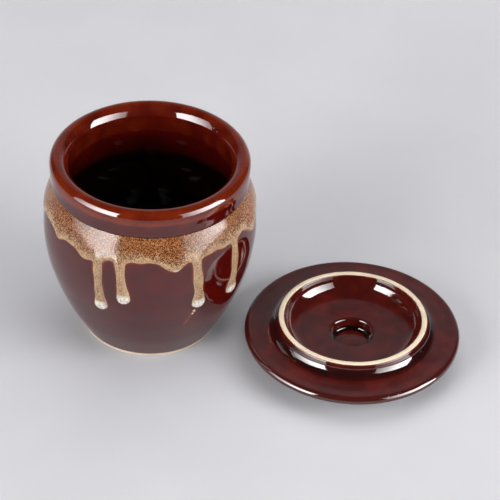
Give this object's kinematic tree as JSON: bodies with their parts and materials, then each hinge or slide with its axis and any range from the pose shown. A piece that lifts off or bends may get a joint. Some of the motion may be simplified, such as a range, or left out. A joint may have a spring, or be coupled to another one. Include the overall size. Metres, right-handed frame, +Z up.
{
  "type": "ceramic fermentation crock",
  "caption": "Glazed stoneware fermentation crock with a drip-glazed shoulder, a ring-seated lid lying beside it, and half-moon weights inside.",
  "frame": {"origin": "on the floor, at the centre of the crock's foot", "axes": "+Z up along the crock's axis, -Y towards the front, +X to the right, where the lid lies"},
  "size_m": [0.2786, 0.1702, 0.1335],
  "materials": {
    "stoneware": "bare fired clay, fine and matt",
    "brown_glaze": "glossy deep red-brown glaze, orange-brown where thin",
    "drip_glaze": "glossy tan glaze with dark brown speckles and cream ends to its runs"
  },
  "bodies": {
    "crock": {"crock_body": "stoneware", "crock_glaze": "brown_glaze", "shoulder_drip_glaze": "drip_glaze"},
    "lid": {"lid_body": "stoneware", "lid_glaze": "brown_glaze", "lid_dish_glaze": "brown_glaze"},
    "left_weight": {"weight_left": "brown_glaze"},
    "right_weight": {"weight_right": "brown_glaze"}
  },
  "joints": [
    {"name": "lid_turn_over", "type": "hinge", "parent": "crock", "child": "lid", "pos_m": [0.0684, -0.0142, 0.0895], "axis": [-0.2033, -0.9791, 0], "range_deg": [0, 180]},
    {"name": "left_weight_lift", "type": "slide", "parent": "crock", "child": "left_weight", "axis": [0, 0, 1], "range_m": [0, 0.129]},
    {"name": "right_weight_lift", "type": "slide", "parent": "crock", "child": "right_weight", "axis": [0, 0, 1], "range_m": [0, 0.129]}
  ]
}
